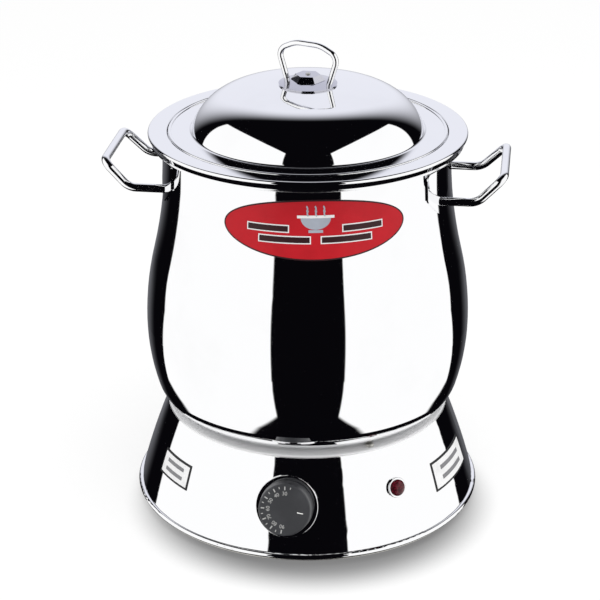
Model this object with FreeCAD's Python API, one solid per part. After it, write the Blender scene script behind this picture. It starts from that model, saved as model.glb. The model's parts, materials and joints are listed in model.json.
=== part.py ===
import FreeCAD, Part
import math
import os
from FreeCAD import Placement, Rotation, Vector

# Electric soup kettle: heated base, bellied vessel, lift-out pot and domed lid.
# Millimetres, +Z up, origin on the table under the kettle's axis, knob towards -Y.

# Sheet thicknesses
base_wall = 1.2
plate_wall = 1.2
vessel_wall = 1.2
pot_wall = 1.0
lid_wall = 1.0
shield_wall = 0.8
saucer_wall = 1.2

# Clearances
seat_gap = 0.05
hole_gap = 0.3
running_gap = 0.05
lift_gap = 0.3
lid_play = 0.6

# Base: skirt, bead, ledge and bottom plate
foot_height = 5.0
foot_radius = 10.0
foot_chamfer = 1.0
foot_stem_radius = 4.0
foot_head_radius = 5.5
foot_head_height = 2.0
foot_count = 4
foot_circle = 122.0
bead_radius = 2.5
base_radius = 158.5
base_rise = 84.0
ledge_radius = 128.0
ledge_edge = 3.0
ledge_opening = 98.0
skirt_bulge = 1.5
dish_rise = 9.0
dish_radius = 18.0
dish_slope = 8.0
plate_bend = 2.0

# Seat ring between ledge and vessel
ring_height = 1.5
ring_inner = 99.0
ring_outer = 111.0
ring_edge = 0.6

# Vessel outline
belly_radius = 145.8
belly_rise = 78.0
belly_lower_arc = 200.0
belly_upper_arc = 275.0
corner_arc = 30.0
neck_radius = 126.0
neck_rise = 163.0
neck_to_rim = 15.0
lip_width = 7.0
lip_bend = 3.0

# Lift-out pot
pot_side_gap = 5.8
pot_depth = 222.0
pot_corner = 20.0
pot_bend = 2.0
recess_gap = 0.8
rim_width = 17.0
rim_bend = 2.0
rim_drop = 8.0
rim_lean = 30.0
rim_hem = 1.8
lid_recess = 3.0

# Lid
lid_bead = 1.5
brim_width = 16.4
dome_rise = 41.0
crown_arc = 400.0
shoulder_arc = 55.0
brim_fillet = 3.0

# Lid handle
lid_turn = -21.0
saucer_radius = 25.3
saucer_flat = 14.0
saucer_rise = 2.5
saucer_bend = 12.0
boss_flats = 26.0
boss_top_flats = 19.0
boss_height = 5.0
loop_wire = 2.5
loop_foot = 20.0
loop_half_width = 29.0
loop_shoulder = 24.0
loop_flat = 12.0
loop_height = 34.5
loop_corner = 9.0
loop_arch = 25.0
loop_sink = 4.0
lid_screw_radius = 2.0
lid_screw_head = 4.5
lid_screw_head_height = 2.5
lid_screw_reach = 6.0

# Side handles and their brackets
handle_rod = 3.7
handle_drop = 31.0
handle_lift = 22.0
handle_leg_half = 46.0
handle_grip_half = 42.5
handle_bend_out = 25.5
handle_reach_out = 47.5
handle_leg_arc = 16.0
handle_grip_arc = 9.0
bracket_wall = 1.6
bracket_width = 40.0
bracket_top = 29.0
bracket_shoulder = 5.0
bracket_point = 12.0
bracket_round = 5.0

# Heater, clamp, shield and stud
element_ring = 66.0
element_tube = 4.0
element_gap_angle = 40.0
element_elbow = 12.0
element_leg = 42.0
bush_radius = 6.5
bush_height = 14.0
clamp_radius = 80.0
clamp_wall = 2.0
clamp_notch_half = 19.0
clamp_notch_depth = 23.0
stud_radius = 4.0
nut_flats = 13.0
nut_height = 6.5
stud_end = 1.0
shield_radius = 96.0
shield_depth = 30.0
shield_flange = 124.5
shield_bend = 3.0
pad_radius = 92.0
pad_height = 8.0
ledge_screw_count = 3
ledge_screw_angle = -56.0
ledge_screw_circle = 120.5
ledge_screw_radius = 2.0
ledge_screw_head = 3.8
ledge_screw_head_height = 2.2
ledge_screw_length = 8.0

# Thermostat, knob and sensing bulb
knob_rise = 43.0
knob_radius = 23.6
knob_face_radius = 22.6
knob_edge = 1.5
knob_stand_off = 4.5
knob_height = 15.0
knob_cavity_radius = 20.5
knob_cavity_depth = 10.0
knob_hub_radius = 7.0
shaft_radius = 3.0
shaft_inside = 22.0
shaft_outside = 14.0
knob_ring_radius = 27.4
knob_ring_bore = 21.0
knob_ring_height = 3.4
bushing_radius = 5.0
bushing_out = 4.0
bushing_flange = 8.0
bushing_flange_height = 2.2
thermostat_width = 36.0
thermostat_height = 32.0
thermostat_depth = 28.0
thermostat_corner = 3.0
thermostat_nut_flats = 14.0
thermostat_nut_height = 3.0
bulb_radius = 3.0
bulb_length = 48.0
bulb_start = -60.0
capillary_radius = 1.0
capillary_run = -76.0
capillary_bend = 8.0
capillary_offset = 8.0
capillary_hole = 2.0

# Pilot lamp
lamp_angle = -49.5
lamp_rise = 48.0
lamp_bezel_radius = 9.2
lamp_bezel_height = 2.4
lamp_bezel_round = 0.8
lamp_radius = 7.2
lamp_depth = 24.0
lamp_top = 1.0
lens_side = 2.2
lens_dome = 3.2
lamp_nut_flats = 19.0
lamp_nut_height = 3.0

# Cable entry and terminal block
gland_rise = 30.0
gland_thread = 8.0
gland_inside = 14.0
gland_flats = 22.0
gland_flange = 5.0
gland_cap = 15.0
gland_cap_radius = 10.0
gland_tip_radius = 7.5
gland_bore = 4.0
gland_round = 2.5
gland_nut_height = 5.0
terminal_length = 36.0
terminal_width = 20.0
terminal_height = 18.0
terminal_x = 30.0
terminal_y = 70.0
terminal_well = 3.2
terminal_wells = 3

# Levels that follow from the sizes above
bead_level = foot_height + plate_wall + bead_radius
bead_circle = base_radius - bead_radius
ledge_level = bead_level + base_rise
ledge_under = ledge_level - base_wall
vessel_level = ledge_level + ring_height
belly_level = vessel_level + belly_rise
neck_level = belly_level + neck_rise
rim_level = neck_level + neck_to_rim
lip_under = rim_level - pot_wall - seat_gap - vessel_wall
pot_ledge = rim_level - lid_recess
pot_floor = rim_level - pot_depth
lip_radius = neck_radius + lip_width
recess_radius = neck_radius - vessel_wall - recess_gap - pot_wall
pot_radius = neck_radius - vessel_wall - pot_side_gap - pot_wall
rim_radius = recess_radius + rim_width
lid_radius = recess_radius - lid_play
dome_radius = lid_radius - brim_width
handle_bend = neck_radius + handle_bend_out
handle_reach = neck_radius + handle_reach_out
brim_level = pot_ledge + lift_gap + lid_bead + lid_wall / 2
apex_level = brim_level + dome_rise
saucer_level = apex_level - crown_arc + math.sqrt(crown_arc ** 2 - saucer_radius ** 2) + seat_gap
saucer_top = saucer_level + saucer_rise + saucer_wall
boss_level = saucer_top + seat_gap
handle_level = neck_level - handle_drop
shield_floor = ledge_under - shield_depth
element_level = vessel_level - seat_gap - element_tube
clamp_top = element_level - element_tube - seat_gap
inside_face = -base_wall - hole_gap - 2 * seat_gap
neck_in = belly_radius - neck_radius
neck_arc = (neck_in ** 2 + neck_rise ** 2) / (2 * neck_in) - belly_upper_arc


def point(radius, level):
    """A point of an outline in the XZ plane."""
    return Vector(radius, 0, level)


def line(start, end):
    return Part.LineSegment(start, end).toShape()


def arc_about(centre, radius, start_angle, end_angle):
    """Arc in the XZ plane; angles in degrees from +X towards +Z."""
    angles = (start_angle, (start_angle + end_angle) / 2, end_angle)
    turned = [math.radians(angle) for angle in angles]
    ends = [centre + Vector(math.cos(a), 0, math.sin(a)) * radius for a in turned]
    return Part.Arc(*ends).toShape()


def rounded_path(*corners):
    """Straight runs through the corners, each (point, bend radius), joined by tangent arcs."""
    edges = []
    start = corners[0][0]
    for (before, _), (corner, radius), (after, _) in zip(corners, corners[1:], corners[2:]):
        back = (before - corner).normalize()
        ahead = (after - corner).normalize()
        half = back.getAngle(ahead) / 2
        setback = radius / math.tan(half)
        middle = (back + ahead).normalize()
        top = corner + middle * (radius / math.sin(half) - radius)
        bend_start = corner + back * setback
        bend_end = corner + ahead * setback
        if not start.isEqual(bend_start, 1e-6):
            edges.append(line(start, bend_start))
        edges.append(Part.Arc(bend_start, top, bend_end).toShape())
        start = bend_end
    edges.append(line(start, corners[-1][0]))
    return edges


def spin(face_or_wire):
    return face_or_wire.revolve(Vector(0, 0, 0), Vector(0, 0, 1), 360)


def spun_sheet(edges, wall):
    """Sheet of revolution: the outline with a wall on its left, seen along +Y."""
    strip = Part.Wire(edges).makeOffset2D(wall, 0, True, True)
    return spin(strip.Faces[0])


def spun_solid(*corners):
    """Solid of revolution from the corner points of a closed outline."""
    outline = Part.makePolygon([*corners, corners[0]])
    return spin(Part.Face(outline))


def rod(edges, radius):
    """Round bar along a path."""
    path = Part.Wire(edges)
    first = edges[0]
    start = first.valueAt(first.FirstParameter)
    ahead = first.tangentAt(first.FirstParameter)
    section = Part.Wire(Part.Circle(start, ahead, radius).toShape())
    return path.makePipeShell([section], True, False)


def hexagon(flats, level):
    """Closed hexagon wire about the Z axis."""
    radius = flats / math.sqrt(3)
    turns = [math.radians(60 * k) for k in range(7)]
    return Part.makePolygon([Vector(radius * math.cos(a), radius * math.sin(a), level) for a in turns])


def hex_nut(flats, low, height, bore):
    body = Part.Face(hexagon(flats, low)).extrude(Vector(0, 0, height))
    return body.cut(Part.makeCylinder(bore, height, Vector(0, 0, low)))


def tube(outer, inner, low, height):
    base = Vector(0, 0, low)
    return Part.makeCylinder(outer, height, base).cut(Part.makeCylinder(inner, height, base))


def around(shape, count, first=0.0):
    """Copies of a shape turned evenly about the Z axis."""
    copies = []
    for k in range(count):
        copy = shape.copy()
        copy.rotate(Vector(0, 0, 0), Vector(0, 0, 1), first + 360 * k / count)
        copies.append(copy)
    return copies


# Skirt outline: one shallow arc from the bead up to the ledge
skirt_foot = point(bead_circle, bead_level)
skirt_top = point(ledge_radius, ledge_level)
skirt_chord = skirt_top - skirt_foot
skirt_out = Vector(skirt_chord.z, 0, -skirt_chord.x).normalize()
skirt_middle = (skirt_foot + skirt_top) * 0.5 + skirt_out * skirt_bulge
skirt_arc = (skirt_chord.Length ** 2 / 4 + skirt_bulge ** 2) / (2 * skirt_bulge)
skirt_centre = skirt_middle - skirt_out * skirt_arc


def skirt_radius(level, inset=0.0):
    return skirt_centre.x + math.sqrt((skirt_arc - inset) ** 2 - (level - skirt_centre.z) ** 2)


def on_skirt(angle, level):
    """Frame on the skirt's outer face, local +Z along its outward normal."""
    radius = skirt_radius(level)
    tilt = math.degrees(math.atan2(level - skirt_centre.z, radius - skirt_centre.x))
    lean = Placement(point(radius, level), Rotation(Vector(0, 1, 0), 90 - tilt))
    turn = Placement(Vector(0, 0, 0), Rotation(Vector(0, 0, 1), angle))
    upright = Placement(Vector(0, 0, 0), Rotation(Vector(0, 0, 1), -90))
    return turn.multiply(lean).multiply(upright)


def placed(shape, frame):
    moved = shape.copy()
    moved.Placement = frame.multiply(moved.Placement)
    return moved


knob_frame = on_skirt(-90, bead_level + knob_rise)
lamp_frame = on_skirt(lamp_angle, bead_level + lamp_rise)
gland_frame = on_skirt(90, bead_level + gland_rise)


def skirt_filled(inset):
    """Everything inside the skirt's outer face, for seating pieces on it."""
    low = point(skirt_radius(bead_level, inset), bead_level)
    middle_level = (bead_level + ledge_level) / 2
    middle = point(skirt_radius(middle_level, inset), middle_level)
    high = point(skirt_radius(ledge_level, inset), ledge_level)
    edges = [line(point(0, bead_level), low), Part.Arc(low, middle, high).toShape()]
    edges.append(line(high, point(0, ledge_level)))
    edges.append(line(point(0, ledge_level), point(0, bead_level)))
    return spin(Part.Face(Part.Wire(edges)))


def make_base_shell():
    outer = skirt_filled(0)
    inner = skirt_filled(base_wall)
    inner = inner.common(Part.makeCylinder(base_radius, ledge_under - bead_level, point(0, bead_level)))
    shell = outer.cut(inner)
    shell = shell.cut(Part.makeCylinder(ledge_opening, base_rise * 2, point(0, bead_level)))
    rim = [e for e in shell.Edges if is_circle_at(e, ledge_radius, ledge_level)]
    shell = shell.makeFillet(ledge_edge, rim)
    shell = shell.fuse(Part.makeTorus(bead_circle, bead_radius, point(0, bead_level)))
    holes = [(knob_frame, bushing_radius), (lamp_frame, lamp_radius), (gland_frame, gland_thread)]
    for frame, radius in holes:
        drill = Part.makeCylinder(radius + running_gap, 4 * base_wall, Vector(0, 0, -3 * base_wall))
        shell = shell.cut(placed(drill, frame))
    return shell.cut(ledge_screw_drills()).removeSplitter()


def ledge_screw_drills():
    """Holes for the screws that hold the shield under the ledge."""
    middle = point(ledge_screw_circle, ledge_under - shield_depth / 2)
    drill = Part.makeCylinder(ledge_screw_radius + seat_gap, shield_depth, middle)
    return Part.makeCompound(around(drill, ledge_screw_count, ledge_screw_angle))


def is_circle_at(edge, radius, level):
    if not isinstance(edge.Curve, Part.Circle):
        return False
    centre = edge.Curve.Center
    return abs(edge.Curve.Radius - radius) < 1e-4 and abs(centre.z - level) < 1e-4


def make_base_plate():
    raised = foot_height + dish_rise
    outline = rounded_path(
        (point(stud_radius + hole_gap, raised), 0),
        (point(dish_radius, raised), plate_bend),
        (point(dish_radius + dish_slope, foot_height), plate_bend),
        (point(bead_circle, foot_height), 0),
    )
    plate = spun_sheet(outline, plate_wall)
    drill = Part.makeCylinder(foot_stem_radius + seat_gap, 2 * foot_height, point(foot_circle, 0))
    return plate.cut(Part.makeCompound(around(drill, foot_count, 180 / foot_count)))


def make_foot():
    plate_top = foot_height + plate_wall
    foot = spun_solid(
        point(0, 0),
        point(foot_radius - foot_chamfer, 0),
        point(foot_radius, foot_chamfer),
        point(foot_radius, foot_height),
        point(foot_stem_radius, foot_height),
        point(foot_stem_radius, plate_top + seat_gap),
        point(foot_head_radius, plate_top + seat_gap),
        point(foot_stem_radius, plate_top + foot_head_height),
        point(0, plate_top + foot_head_height),
    )
    foot.translate(Vector(foot_circle, 0, 0))
    return foot


def make_seat_ring():
    ring = tube(ring_outer, ring_inner, ledge_level, ring_height)
    low = [e for e in ring.Edges if is_circle_at(e, ring_outer, ledge_level)]
    high = [e for e in ring.Edges if is_circle_at(e, ring_outer, vessel_level)]
    return ring.makeFillet(ring_edge, low + high)


# Vessel outline: flat floor, corner arc, belly arcs, waisted neck and outward lip
lower_centre = point(belly_radius - belly_lower_arc, belly_level)
corner_level = vessel_level + corner_arc
corner_reach = math.sqrt((belly_lower_arc - corner_arc) ** 2 - (belly_level - corner_level) ** 2)
corner_centre = point(lower_centre.x + corner_reach, corner_level)
corner_angle = math.degrees(math.atan2(corner_level - belly_level, corner_reach))
upper_centre = point(belly_radius - belly_upper_arc, belly_level)
neck_centre = point(neck_radius + neck_arc, neck_level)
swing = math.degrees(math.asin(neck_rise / (belly_upper_arc + neck_arc)))


def make_outer_vessel():
    outline = [
        line(point(0, vessel_level), point(corner_centre.x, vessel_level)),
        arc_about(corner_centre, corner_arc, -90, corner_angle),
        arc_about(lower_centre, belly_lower_arc, corner_angle, 0),
        arc_about(upper_centre, belly_upper_arc, 0, swing),
        arc_about(neck_centre, neck_arc, 180 + swing, 180),
    ]
    outline += rounded_path(
        (point(neck_radius, neck_level), 0),
        (point(neck_radius, lip_under), lip_bend),
        (point(lip_radius, lip_under), 0),
    )
    return spun_sheet(outline, vessel_wall)


def neck_filled(inset):
    """Solid inside the neck's outer face moved out by inset, below the neck level."""
    start = 180 + swing
    radius = neck_arc - inset
    curve = arc_about(neck_centre, radius, start, 180)
    low = curve.Vertexes[0].Point
    high = curve.Vertexes[-1].Point
    edges = [line(point(0, low.z), low), curve, line(high, point(0, high.z))]
    edges.append(line(point(0, high.z), point(0, low.z)))
    return spin(Part.Face(Part.Wire(edges)))


leg_angle = math.degrees(math.asin(handle_leg_half / neck_radius))


def make_bracket():
    """Shield-shaped weld plate, curved to the neck, about the +X direction."""
    half = bracket_width / 2
    low = handle_level - bracket_point
    shoulder = handle_level + bracket_shoulder
    top = handle_level + bracket_top
    corners = [(-half, shoulder), (0, low), (half, shoulder), (half, top), (-half, top)]
    points = [Vector(neck_radius / 2, y, z) for y, z in corners]
    start = (points[-1] + points[0]) * 0.5
    outline = rounded_path((start, 0), *[(p, bracket_round) for p in points], (start, 0))
    prism = Part.Face(Part.Wire(outline)).extrude(Vector(neck_radius, 0, 0))
    skin = neck_filled(seat_gap + bracket_wall).cut(neck_filled(seat_gap))
    return skin.common(prism)


def make_brackets(side_angle):
    plates = []
    for turn in (-leg_angle, leg_angle):
        plate = make_bracket()
        plate.rotate(Vector(0, 0, 0), Vector(0, 0, 1), side_angle + turn)
        plates.append(plate)
    return Part.makeCompound(plates)


def make_handle(side_angle):
    """Bent rod with two level legs and a raised grip, welded to the brackets."""
    grip_level = handle_level + handle_lift
    root = neck_radius / 2
    path = rounded_path(
        (Vector(root, -handle_leg_half, handle_level), 0),
        (Vector(handle_bend, -handle_leg_half, handle_level), handle_leg_arc),
        (Vector(handle_reach, -handle_grip_half, grip_level), handle_grip_arc),
        (Vector(handle_reach, handle_grip_half, grip_level), handle_grip_arc),
        (Vector(handle_bend, handle_leg_half, handle_level), handle_leg_arc),
        (Vector(root, handle_leg_half, handle_level), 0),
    )
    bar = rod(path, handle_rod).cut(neck_filled(2 * seat_gap + bracket_wall))
    bar.rotate(Vector(0, 0, 0), Vector(0, 0, 1), side_angle)
    return bar


def make_soup_pot():
    """Pot sheet with a seat for the lid and a flange turned down, leaning in to a short hem."""
    turned = rim_bend * (math.tan(math.radians(45 + rim_lean / 2)) - 1)
    rim_corner = rim_radius + turned
    hem_radius = rim_corner - rim_drop * math.tan(math.radians(rim_lean))
    outline = rounded_path(
        (point(0, pot_floor), 0),
        (point(pot_radius, pot_floor), pot_corner),
        (point(pot_radius, pot_ledge), pot_bend),
        (point(recess_radius, pot_ledge), pot_bend / 2),
        (point(recess_radius, rim_level), pot_bend),
        (point(rim_corner, rim_level), rim_bend),
        (point(hem_radius, rim_level - rim_drop), pot_bend),
        (point(hem_radius, rim_level - rim_drop - rim_hem), 0),
    )
    return spun_sheet(outline, -pot_wall)


def dome_outline():
    """Crown arc, shoulder arc, brim fillet and flat brim of the lid."""
    crown_centre = point(0, apex_level - crown_arc)
    shoulder_r = dome_radius - shoulder_arc
    rise = math.sqrt((crown_arc - shoulder_arc) ** 2 - shoulder_r ** 2)
    shoulder_centre = point(shoulder_r, crown_centre.z + rise)
    meet = math.degrees(math.atan2(rise, shoulder_r))
    fillet_rise = brim_level + brim_fillet - shoulder_centre.z
    fillet_reach = math.sqrt((shoulder_arc + brim_fillet) ** 2 - fillet_rise ** 2)
    fillet_centre = point(shoulder_r + fillet_reach, brim_level + brim_fillet)
    leave = math.degrees(math.atan2(fillet_rise, fillet_reach))
    return [
        arc_about(crown_centre, crown_arc, 90, meet),
        arc_about(shoulder_centre, shoulder_arc, meet, leave),
        arc_about(fillet_centre, brim_fillet, 180 + leave, 270),
        line(point(fillet_centre.x, brim_level), point(lid_radius - lid_bead, brim_level)),
    ]


def make_lid_shell():
    shell = spun_sheet(dome_outline(), -lid_wall)
    bead = Part.makeTorus(lid_radius - lid_bead, lid_bead, point(0, brim_level - lid_wall / 2))
    drill = Part.makeCylinder(lid_screw_radius + hole_gap, dome_rise, point(0, brim_level + lid_bead))
    return shell.fuse(bead).cut(drill).removeSplitter()


def make_lid_saucer():
    """Rosette under the boss, its rim resting on the crown."""
    outline = rounded_path(
        (point(lid_screw_radius + hole_gap, saucer_level + saucer_rise), 0),
        (point(saucer_flat, saucer_level + saucer_rise), saucer_bend),
        (point(saucer_radius, saucer_level), 0),
    )
    return spun_sheet(outline, saucer_wall)


def make_lid_boss():
    low = hexagon(boss_flats, boss_level)
    high = hexagon(boss_top_flats, boss_level + boss_height)
    boss = Part.makeLoft([low, high], True, True)
    hole = Part.makeCylinder(lid_screw_radius + seat_gap, lid_screw_reach, point(0, boss_level))
    return boss.cut(hole)


def make_lid_screw():
    head_top = apex_level - lid_wall - 2 * seat_gap
    head_low = head_top - lid_screw_head_height
    head = Part.makeCylinder(lid_screw_head, lid_screw_head_height, point(0, head_low))
    edges = [e for e in head.Edges if is_circle_at(e, lid_screw_head, head_low)]
    head = head.makeFillet(lid_screw_head_height / 2, edges)
    length = boss_level + lid_screw_reach - seat_gap - head_top
    return head.fuse(Part.makeCylinder(lid_screw_radius, length, point(0, head_top)))


def make_lid_loop(saucer):
    """Wire loop, wider at the top, standing on the saucer."""
    foot = saucer_top
    half = [(loop_foot, -loop_sink, 0), (loop_half_width, loop_shoulder, loop_corner)]
    half.append((loop_flat, loop_height - loop_wire, loop_arch))
    right = [(point(x, foot + z), bend) for x, z, bend in half]
    left = [(point(-x, foot + z), bend) for x, z, bend in reversed(half)]
    wire = rod(rounded_path(*right, *left), loop_wire).cut(saucer)
    wire = max(wire.Solids, key=lambda solid: solid.Volume)
    wire.rotate(Vector(0, 0, 0), Vector(0, 0, 1), lid_turn)
    return wire


# Element ends: where the ring's tangents bend down
gap_half = math.radians(element_gap_angle / 2)
leg_x = element_ring * math.sin(gap_half) - element_elbow * math.cos(gap_half)
leg_y = -element_ring * math.cos(gap_half) - element_elbow * math.sin(gap_half)


def make_heating_element():
    start_angle = -math.pi / 2 + gap_half
    ends = [Vector(math.cos(a), math.sin(a), 0) * element_ring for a in (start_angle, math.pi / 2)]
    rise = Vector(0, 0, element_level)
    right_end = ends[0] + rise
    left_end = Vector(-right_end.x, right_end.y, element_level)
    ring = Part.Arc(right_end, ends[1] + rise, left_end).toShape()
    right = element_end(leg_x, right_end)
    left = element_end(-leg_x, left_end)
    path = [*right, ring, *reversed([reversed_edge(e) for e in left])]
    return rod(path, element_tube)


def element_end(x, ring_end):
    """Upright leg and elbow that lead into one end of the ring."""
    foot = Vector(x, leg_y, element_level - element_elbow - element_leg)
    knee = Vector(x, leg_y, element_level - element_elbow)
    centre = Vector(ring_end.x, ring_end.y, element_level - element_elbow)
    reach = (Vector(x, leg_y, 0) - Vector(ring_end.x, ring_end.y, 0)).normalize()
    middle = centre + (reach + Vector(0, 0, 1)).normalize() * element_elbow
    return [line(foot, knee), Part.Arc(knee, middle, ring_end).toShape()]


def reversed_edge(edge):
    if isinstance(edge.Curve, Part.Line):
        return line(edge.Vertexes[-1].Point, edge.Vertexes[0].Point)
    middle = edge.valueAt((edge.FirstParameter + edge.LastParameter) / 2)
    return Part.Arc(edge.Vertexes[-1].Point, middle, edge.Vertexes[0].Point).toShape()


def make_clamp_plate():
    plate = tube(clamp_radius, stud_radius + hole_gap, clamp_top - clamp_wall, clamp_wall)
    corner = Vector(-clamp_notch_half, -clamp_radius, clamp_top - clamp_wall)
    notch = Part.makeBox(2 * clamp_notch_half, clamp_notch_depth, clamp_wall, corner)
    return plate.cut(notch)


def shield_drills(low, height, leg_hole):
    """Holes for the stud, the element's ends and the capillary."""
    places = [(0, 0, stud_radius + hole_gap), (0, capillary_run, capillary_hole)]
    places += [(leg_x, leg_y, leg_hole), (-leg_x, leg_y, leg_hole)]
    return Part.makeCompound([Part.makeCylinder(r, height, Vector(x, y, low)) for x, y, r in places])


def make_heat_shield():
    outline = rounded_path(
        (point(shield_flange, ledge_under), 0),
        (point(shield_radius, ledge_under), shield_bend),
        (point(shield_radius, shield_floor), shield_bend),
        (point(0, shield_floor), 0),
    )
    pan = spun_sheet(outline, shield_wall)
    pan = pan.cut(shield_drills(shield_floor - 2 * shield_wall, 4 * shield_wall, bush_radius + seat_gap))
    return pan.cut(ledge_screw_drills())


def make_insulation_pad():
    pad = Part.makeCylinder(pad_radius, pad_height, point(0, shield_floor + seat_gap))
    return pad.cut(shield_drills(shield_floor, 2 * pad_height, bush_radius + seat_gap))


def make_element_bush(x):
    bush = tube(bush_radius, element_tube + seat_gap, shield_floor - bush_height / 2, bush_height)
    bush.translate(Vector(x, leg_y, 0))
    return bush


def make_ledge_screw():
    head_low = ledge_level + seat_gap
    head_top = head_low + ledge_screw_head_height
    head = Part.makeCylinder(ledge_screw_head, ledge_screw_head_height, point(0, head_low))
    top = [e for e in head.Edges if is_circle_at(e, ledge_screw_head, head_top)]
    head = head.makeFillet(ledge_screw_head_height / 2, top)
    shank_low = point(0, head_low - ledge_screw_length)
    screw = head.fuse(Part.makeCylinder(ledge_screw_radius, ledge_screw_length, shank_low))
    screw.translate(Vector(ledge_screw_circle, 0, 0))
    return screw


def make_control_knob():
    back = knob_stand_off
    face = back + knob_height
    knob = spun_solid(
        point(0, back),
        point(knob_radius, back),
        point(knob_face_radius, face),
        point(0, face),
    )
    rim = [e for e in knob.Edges if is_circle_at(e, knob_face_radius, face)]
    knob = knob.makeFillet(knob_edge, rim)
    knob = knob.cut(tube(knob_cavity_radius, knob_hub_radius, back, knob_cavity_depth))
    bore_depth = shaft_outside - back + seat_gap
    return knob.cut(Part.makeCylinder(shaft_radius + seat_gap, bore_depth, point(0, back)))


def make_knob_ring():
    ring = tube(knob_ring_radius, knob_ring_bore, -knob_ring_radius, knob_ring_radius + knob_ring_height)
    rim = [e for e in ring.Edges if is_circle_at(e, knob_ring_radius, knob_ring_height)]
    ring = ring.makeFillet(ring_edge, rim)
    return placed(ring, knob_frame).cut(skirt_filled(-seat_gap))


def make_thermostat_body():
    case_front = inside_face - bushing_flange_height
    corner = Vector(-thermostat_width / 2, -thermostat_height / 2, case_front - thermostat_depth)
    case = Part.makeBox(thermostat_width, thermostat_height, thermostat_depth, corner)
    upright = [e for e in case.Edges if e.BoundBox.ZLength > thermostat_depth / 2]
    case = case.makeFillet(thermostat_corner, upright)
    collar = Part.makeCylinder(bushing_flange, bushing_flange_height, Vector(0, 0, case_front))
    neck = Part.makeCylinder(bushing_radius, bushing_out - case_front, Vector(0, 0, case_front))
    bore_depth = shaft_inside + hole_gap
    bore = Part.makeCylinder(shaft_radius + running_gap, bore_depth + bushing_out, point(0, -bore_depth))
    return case.fuse(collar).fuse(neck).cut(bore).removeSplitter()


def make_sensing_bulb():
    """Capillary from the thermostat's back, up through the shield, to the bulb under the vessel."""
    back = inside_face - bushing_flange_height - thermostat_depth
    start = knob_frame.multVec(Vector(0, -capillary_offset, back - seat_gap))
    inward = knob_frame.Rotation.multVec(Vector(0, 0, -1))
    knee = start + inward * ((capillary_run - start.y) / inward.y)
    bulb_level = vessel_level - seat_gap - bulb_radius
    path = rounded_path(
        (start, 0),
        (knee, capillary_bend),
        (Vector(0, capillary_run, bulb_level), capillary_bend),
        (Vector(0, bulb_start, bulb_level), 0),
    )
    bulb = Part.makeCylinder(bulb_radius, bulb_length, Vector(0, bulb_start, bulb_level), Vector(0, 1, 0))
    return rod(path, capillary_radius).fuse(bulb)


def make_lamp_bezel():
    low = -lamp_bezel_radius
    bezel = tube(lamp_bezel_radius, lamp_radius + 2 * seat_gap, low, lamp_bezel_height - low)
    rim = [e for e in bezel.Edges if is_circle_at(e, lamp_bezel_radius, lamp_bezel_height)]
    bezel = bezel.makeFillet(lamp_bezel_round, rim)
    return placed(bezel, lamp_frame).cut(skirt_filled(-seat_gap))


def make_lamp_lens():
    low = lamp_top + seat_gap
    side = Part.makeCylinder(lamp_radius, lens_side, point(0, low))
    dome_arc = (lamp_radius ** 2 + lens_dome ** 2) / (2 * lens_dome)
    dome = Part.makeSphere(dome_arc, point(0, low + lens_side + lens_dome - dome_arc))
    dome = dome.common(Part.makeCylinder(lamp_radius, lens_dome, point(0, low + lens_side)))
    return side.fuse(dome)


def make_terminal_block():
    low = foot_height + plate_wall + seat_gap
    middle = low + terminal_height / 2
    corner = Vector(terminal_x - terminal_length / 2, terminal_y - terminal_width / 2, low)
    block = Part.makeBox(terminal_length, terminal_width, terminal_height, corner)
    step = terminal_length / terminal_wells
    along = Vector(0, 1, 0)
    for k in range(terminal_wells):
        x = corner.x + step * (k + 0.5)
        entry = Part.makeCylinder(terminal_well, terminal_width, Vector(x, corner.y, middle), along)
        driver = Part.makeCylinder(terminal_well, terminal_height / 2, Vector(x, terminal_y, middle))
        block = block.cut(entry).cut(driver)
    return block


def make_cable_gland():
    cap_low = gland_flange + seat_gap
    flange = Part.Face(hexagon(gland_flats, seat_gap)).extrude(Vector(0, 0, gland_flange))
    thread = Part.makeCylinder(gland_thread, gland_inside + seat_gap, Vector(0, 0, -gland_inside))
    cap = Part.makeCone(gland_cap_radius, gland_tip_radius, gland_cap, point(0, cap_low))
    tip = [e for e in cap.Edges if is_circle_at(e, gland_tip_radius, cap_low + gland_cap)]
    cap = cap.makeFillet(gland_round, tip)
    length = gland_inside + cap_low + gland_cap
    bore = Part.makeCylinder(gland_bore, length, Vector(0, 0, -gland_inside))
    return flange.fuse(thread).fuse(cap).cut(bore).removeSplitter()


def stud_nut(top):
    return hex_nut(nut_flats, top - nut_height, nut_height, stud_radius + seat_gap)


stud_low = foot_height + dish_rise - nut_height - stud_end
thermostat_nut = hex_nut(thermostat_nut_flats, seat_gap, thermostat_nut_height, bushing_radius + seat_gap)
lamp_nut = hex_nut(lamp_nut_flats, inside_face - lamp_nut_height, lamp_nut_height, lamp_radius + seat_gap)
gland_nut_low = inside_face - hole_gap - gland_nut_height
gland_nut = hex_nut(gland_flats, gland_nut_low, gland_nut_height, gland_thread + seat_gap)
lamp_body = Part.makeCylinder(lamp_radius, lamp_depth + lamp_top, point(0, -lamp_depth))
thermostat_shaft = Part.makeCylinder(shaft_radius, shaft_inside + shaft_outside, point(0, -shaft_inside))
lid_saucer = make_lid_saucer()

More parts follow.
